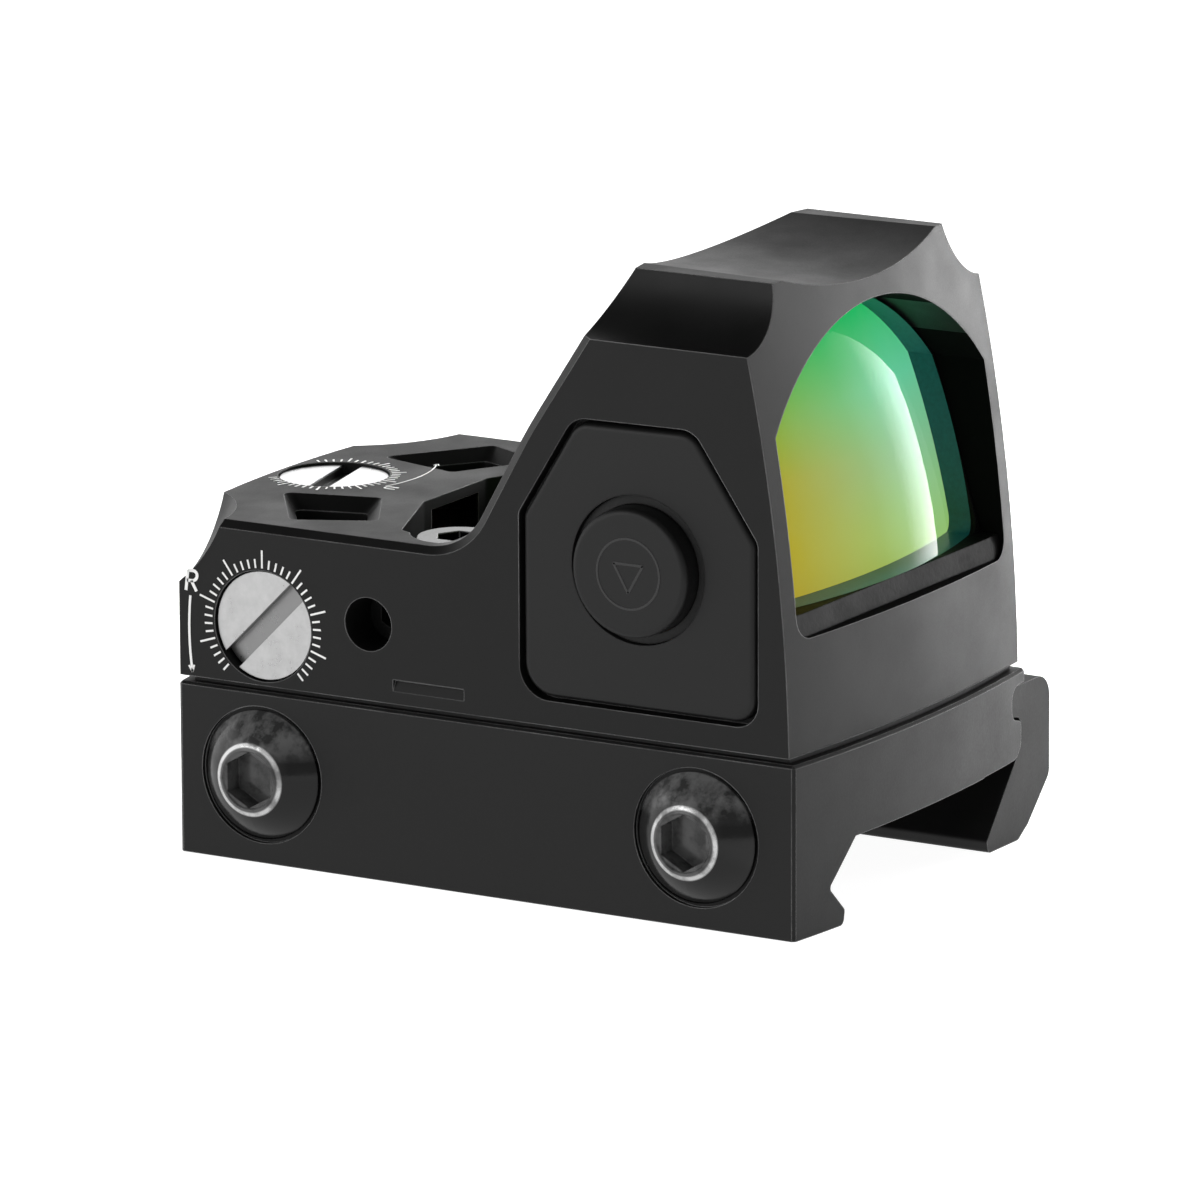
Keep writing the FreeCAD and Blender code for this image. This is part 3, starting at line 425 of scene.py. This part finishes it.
def painted_glow_lens_rear(name):
    """Lens rear with painted reflection and glow: colours set by place stand in for reflections, green
    at the top and the left side, amber low on the right.
    """
    nodes = Nodes(name)
    low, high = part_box("lens_rear")
    split = nodes.add("SeparateXYZ")
    nodes.link(nodes.position(), split, 0)
    across = nodes.spread(split.outputs["X"], low.x, high.x, 0.0, 1.0)
    upward = nodes.spread(split.outputs["Z"], low.z, high.z, 0.0, 1.0)
    right_side = nodes.add("ValToRGB")
    paint_stops(right_side, [(0.0, (0.52, 0.38, 0.03)), (0.4, (0.49, 0.38, 0.01)),
                             (0.62, (0.28, 0.42, 0.01)), (0.85, (0.0, 0.46, 0.05))])
    nodes.link(upward, right_side, "Fac")
    left_side = nodes.add("ValToRGB")
    paint_stops(left_side, [(0.0, (0.36, 0.64, 0.18)), (0.35, (0.27, 0.60, 0.33)),
                            (0.6, (0.16, 0.68, 0.4)), (0.92, (0.0, 0.55, 0.12))])
    nodes.link(upward, left_side, "Fac")
    blend = nodes.spread(across, 0.15, 0.85, 0.0, 1.0)
    tone = nodes.mix(blend, left_side.outputs["Color"], right_side.outputs["Color"])
    smear = nodes.noise(2.5 * MM, detail=4.0)
    tone = nodes.mix(nodes.spread(smear, 0.3, 0.7, 0.0, 0.04), tone, (0.5, 0.6, 0.4, 1))
    nodes.link(nodes.mix(0.25, grey(0.0), tone), nodes.shader, "Base Color")
    # Painted glow: the lens rear emits its own colours though it is no lamp.
    nodes.link(tone, nodes.shader, "Emission Color")
    nodes.shader.inputs["Emission Strength"].default_value = 0.75
    nodes.link(nodes.spread(smear, 0.3, 0.7, 0.3, 0.4), nodes.shader, "Roughness")
    nodes.shader.inputs["Specular IOR Level"].default_value = 0.0
    return nodes.material


def paint_stops(ramp, stops):
    """Set a colour ramp from (position, colour) pairs."""
    elements = ramp.color_ramp.elements
    while len(elements) < len(stops):
        elements.new(0.5)
    for element, (position, colour) in zip(elements, stops):
        element.position = position
        element.color = tuple(colour) + (1.0,)


def clear_pane(name):
    """Small clear window."""
    nodes = Nodes(name)
    glass = see_through_part(nodes, 0.03, (0.45, 0.35, 0.36, 1), 1.45)
    nodes.link(glass, nodes.tree.nodes["Material Output"], "Surface")
    return nodes.material


def make_materials():
    """One finish for each kind of surface."""
    # The edge colours here (edge_grey, the screw's and the pad's) make edges lighter: partly wear,
    # partly painted edge highlight.
    edge_grey = grey(0.3)
    windage_low, windage_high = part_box("windage_screw")
    elevation_low, elevation_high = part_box("elevation_screw")
    windage_middle = (windage_low + windage_high) / 2
    elevation_middle = (elevation_low + elevation_high) / 2
    rear_low, rear_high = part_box("clamp_screw_rear")
    front_low, front_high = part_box("clamp_screw_front")
    rear_middle = (rear_low + rear_high) / 2
    front_middle = (front_low + front_high) / 2
    return {
        "rear_clamp_screw": clamp_screw_steel("rear_clamp_screw_steel", rear_middle.yz),
        "front_clamp_screw": clamp_screw_steel("front_clamp_screw_steel", front_middle.yz),
        "housing": surface("black_anodised_housing", (0.005, 0.005, 0.005), 0.46, specular=0.2,
                           grain=0.10, bump=2.5, edge_colour=edge_grey, window=True),
        "base": surface("black_anodised_base", (0.006, 0.006, 0.006), 0.48, specular=0.22,
                        grain=0.16, bump=5.0, edge_colour=edge_grey),
        "black_screw": surface("black_oxide_steel", (0.002, 0.002, 0.002), 0.16, specular=0.35,
                               grain=0.25, bump=3.0, edge_radius=0.13, edge_colour=grey(0.45)),
        "deep_screw": surface("dull_black_steel", (0.003, 0.003, 0.003), 0.4, specular=0.2),
        # Both dials are the same turned steel at different brightness: painted shade on the side dial
        # (0.43), painted light on the deck dial (0.9).
        "windage": turned_steel("turned_steel_windage", "X",
                                (windage_middle.y, windage_middle.z), windage_high.x, 0.43),
        "elevation": turned_steel("turned_steel_elevation", "Z",
                                  (elevation_middle.x, elevation_middle.y), elevation_high.z, 0.9),
        "front_glass": lens_glass("lens_front_glass"),
        "glowing_coating": painted_glow_lens_rear("painted_glow_lens_rear"),
        "pane": clear_pane("emitter_pane"),
        "sealant": surface("dark_sealant", (0.003, 0.003, 0.003), 0.5, specular=0.06, grain=0.4,
                           bump=15.0),
        "pad": surface("moulded_pad", (0.007, 0.007, 0.007), 0.42, specular=0.24, grain=0.07,
                       bump=2.0, edge_radius=0.15, edge_colour=(0.035, 0.035, 0.035, 1)),
        "rubber": surface("black_rubber", (0.008, 0.008, 0.008), 0.7, grain=0.2, bump=4.0),
        "brass": surface("machined_brass", (0.75, 0.55, 0.25), 0.3, metallic=1.0, grain=0.1),
        "steel": surface("bright_spring_steel", (0.62, 0.62, 0.63), 0.25, metallic=1.0),
        "ground": surface("ground_steel", (0.7, 0.7, 0.71), 0.18, metallic=1.0, bump=1.0),
        "nickel": surface("nickel_can", (0.72, 0.70, 0.66), 0.22, metallic=1.0, bump=1.0),
        "board": surface("solder_mask", (0.01, 0.10, 0.04), 0.35, coat=0.5, grain=0.3),
        "chip": surface("chip_package", (0.02, 0.02, 0.02), 0.55, grain=0.08),
        "flex": surface("amber_flex", (0.45, 0.20, 0.03), 0.35, coat=0.3, grain=0.3),
        "holder": surface("black_nylon", (0.02, 0.02, 0.02), 0.5, grain=0.1),
        "emitter": surface("red_epoxy", (0.12, 0.004, 0.003), 0.2, grain=0.2, bump=1.0),
        "paint": surface("white_fill_paint", (0.80, 0.80, 0.79), 0.55, grain=0.06, bump=6.0,
                         edge_radius=0.02),
        "mark": surface("dark_mark", (0.004, 0.004, 0.004), 0.25, grain=0.06, bump=2.0,
                        edge_radius=0.02),
    }


FINISH_OF_NODE = {
    "base_mount": "base", "clamp_jaw": "base", "housing": "housing",
    "clamp_screw_rear": "rear_clamp_screw", "clamp_screw_front": "front_clamp_screw",
    "mounting_screws": "black_screw", "lock_set_screw": "deep_screw",
    "base_gasket": "rubber", "windage_ring": "rubber", "elevation_ring": "rubber",
    "locating_pins": "ground", "detent_balls": "ground", "detent_springs": "steel",
    "lens_front": "front_glass", "lens_rear": "glowing_coating", "lens_seal": "sealant",
    "emitter_window": "pane", "windage_screw": "windage", "elevation_screw": "elevation",
    "windage_clip": "steel", "elevation_clip": "steel",
    "windage_spring": "steel", "elevation_spring": "steel",
    "windage_carriage": "brass", "elevation_yoke": "brass",
    "emitter_holder": "holder", "led_emitter": "emitter", "led_flex": "flex",
    "battery": "nickel", "battery_contact_top": "steel", "battery_contact_side": "steel",
    "main_pcb": "board", "controller_chip": "chip",
}
FINISH_OF_SIDE_NODE = {
    "keypad": "pad", "keypad_web": "rubber", "button": "pad",
    "dome_switch": "steel", "switch_flex": "flex",
}


def finish_cad_nodes(materials):
    """Give every CAD node its finish."""
    finishes = dict(FINISH_OF_NODE)
    for name, finish in FINISH_OF_SIDE_NODE.items():
        for side in ("right", "left"):
            finishes[name + "_" + side] = finish
    for name, finish in finishes.items():
        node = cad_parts[name]
        if not node.material_slots:
            node.data.materials.append(materials[finish])
        for slot in node.material_slots:
            slot.material = materials[finish]


# ---- painted marks ----------------------------------------------------------

PAINT_THICK = 0.02


def ribbon(mesh, points, width, place):
    """Flat painted line along points (mm, in its own plane), raised by the paint's thickness."""
    count = len(points)
    flats = [Vector(point) for point in points]
    rows = []
    for index, point in enumerate(flats):
        before = flats[max(index - 1, 0)]
        after = flats[min(index + 1, count - 1)]
        along = (after - before).normalized()
        side = Vector((-along.y, along.x)) * width / 2
        rows.append([place(spot, height) for spot, height in (
            (point - side, 0.0), (point - side, PAINT_THICK),
            (point + side, PAINT_THICK), (point + side, 0.0))])
    verts = [[mesh.verts.new(spot) for spot in row] for row in rows]
    for first, second in zip(verts, verts[1:]):
        for index in range(4):
            following = (index + 1) % 4
            mesh.faces.new((first[index], first[following], second[following], second[index]))
    mesh.faces.new(verts[0])
    mesh.faces.new(reversed(verts[-1]))


def make_marks(name, strokes, place, material, body=BODY):
    """One object holding several painted lines; each stroke is (points, width)."""
    mesh = bmesh.new()
    for points, width in strokes:
        ribbon(mesh, points, width, place)
    bmesh.ops.recalc_face_normals(mesh, faces=mesh.faces)
    data = bpy.data.meshes.new(name)
    mesh.to_mesh(data)
    mesh.free()
    data.materials.append(material)
    piece = bpy.data.objects.new(name, data)
    bpy.context.scene.collection.objects.link(piece)
    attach(piece, body)
    return piece


def arc_points(centre, radius, start, end, steps):
    """Points along an arc, angles in degrees."""
    points = []
    for step in range(steps + 1):
        angle = math.radians(start + (end - start) * step / steps)
        points.append((centre[0] + radius * math.cos(angle), centre[1] + radius * math.sin(angle)))
    return points


def tick_ring(centre, inner, short, long, keep):
    """Fifty ticks about a dial, every fifth one longer; keep says which places have paint."""
    strokes = []
    for step in range(50):
        angle = 2 * math.pi * step / 50 + math.pi / 2
        outer = long if step % 5 == 0 else short
        toward = Vector((math.cos(angle), math.sin(angle)))
        start = Vector(centre) + toward * inner
        end = Vector(centre) + toward * outer
        if keep(end):
            strokes.append(([start, end], 0.12))
    return strokes


def on_right_side(surface_x):
    """Place (Y, Z) in mm on the sight's right side."""
    return lambda spot, height: Vector((surface_x + height, spot.x, spot.y)) * MM


def on_deck(surface_z):
    """Place (X, Y) in mm on the deck."""
    return lambda spot, height: Vector((spot.x, spot.y, surface_z + height)) * MM


def letter_r(corner, size, lean):
    """Letter R as strokes; corner is its lower left, in the plane of the mark."""
    stem = [(0.0, 0.0), (0.0, 1.0)]
    bowl = [(0.0, 1.0), (0.3, 1.0)] + arc_points((0.3, 0.75), 0.25, 90, -90, 8) + [(0.0, 0.5)]
    leg = [(0.25, 0.5), (0.6, 0.0)]
    return [(lettered(part, corner, size, lean), 0.2) for part in (stem, bowl, leg)]


def letter_u(corner, size, lean):
    """Letter U as one stroke."""
    bowl = arc_points((0.3, 0.3), 0.3, 180, 360, 8)
    return [(lettered([(0.0, 1.0)] + bowl + [(0.6, 1.0)], corner, size, lean), 0.13)]


def lettered(points, corner, size, lean):
    """Scale, lean and place a letter's points."""
    return [(corner[0] + (x + lean * y) * size, corner[1] + y * size) for x, y in points]


def arrow_head(tip, heading, size):
    """Two short strokes that meet at the tip; heading in degrees."""
    strokes = []
    for turn in (155, -155):
        angle = math.radians(heading + turn)
        back = (tip[0] + size * math.cos(angle), tip[1] + size * math.sin(angle))
        strokes.append(([tip, back], 0.12))
    return strokes


def windage_marks(material):
    """Ticks, direction letter and arrow on the right side."""
    low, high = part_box("windage_screw")
    centre = ((low.y + high.y) / 2 / MM, (low.z + high.z) / 2 / MM)
    housing_low, housing_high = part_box("housing")
    floor_z = housing_low.z / MM + 0.15
    strokes = tick_ring(centre, 3.55, 4.1, 4.65, lambda end: end.y > floor_z)
    strokes += letter_r((centre[0] - 5.4, centre[1] + 1.6), 1.25, 0.12)
    shaft = arc_points((centre[0] + 14.0, centre[1] - 0.7), 19.2, 174, 188, 8)
    strokes.append((shaft, 0.16))
    strokes += arrow_head(shaft[-1], 278, 0.45)
    make_marks("windage_marks", strokes, on_right_side(HOUSING_SIDE_X), material)


HOUSING_SIDE_X = 13.85
DECK_Z = 15.6


def elevation_marks(material):
    """Ticks, direction letter and arrow on the deck."""
    low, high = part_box("elevation_screw")
    centre = ((low.x + high.x) / 2 / MM, (low.y + high.y) / 2 / MM)
    housing_low, housing_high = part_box("housing")
    rear = housing_low.y / MM + 0.25
    strokes = tick_ring(centre, 3.5, 4.05, 4.4, lambda end: end.y > rear)
    strokes += letter_u((centre[0] + 1.3, centre[1] + 4.6), 0.8, 0.0)
    shaft = arc_points((centre[0] - 1.5, centre[1] - 4.0), 8.9, 72, 116, 8)
    strokes.append((shaft, 0.08))
    strokes += arrow_head(shaft[-1], 206, 0.35)
    make_marks("elevation_marks", strokes, on_deck(DECK_Z), material)


def button_icon(side, material):
    """Ring and triangle on a button: down on the right, up on the left."""
    low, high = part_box("button_" + side)
    centre = ((low.y + high.y) / 2 / MM, (low.z + high.z) / 2 / MM)
    sign = 1 if side == "right" else -1
    face = high.x if side == "right" else low.x
    strokes = [(arc_points(centre, 2.1, 0, 360, 48), 0.14)]
    corners = arc_points(centre, 1.15, -90 * sign, 270 * sign, 3)
    strokes += [([first, second], 0.16) for first, second in zip(corners, corners[1:])]

    def place(spot, height):
        return Vector((face / MM + sign * height, spot.x, spot.y)) * MM

    make_marks("button_icon_" + side, strokes, place, material, "button_" + side)


# ---- put it together --------------------------------------------------------

bpy.context.scene.view_settings.view_transform = "Standard"
make_camera()
make_floor()
make_world()
make_lights()
finishes = make_materials()
finish_cad_nodes(finishes)
windage_marks(finishes["paint"])
elevation_marks(finishes["paint"])
for side in ("right", "left"):
    button_icon(side, finishes["mark"])
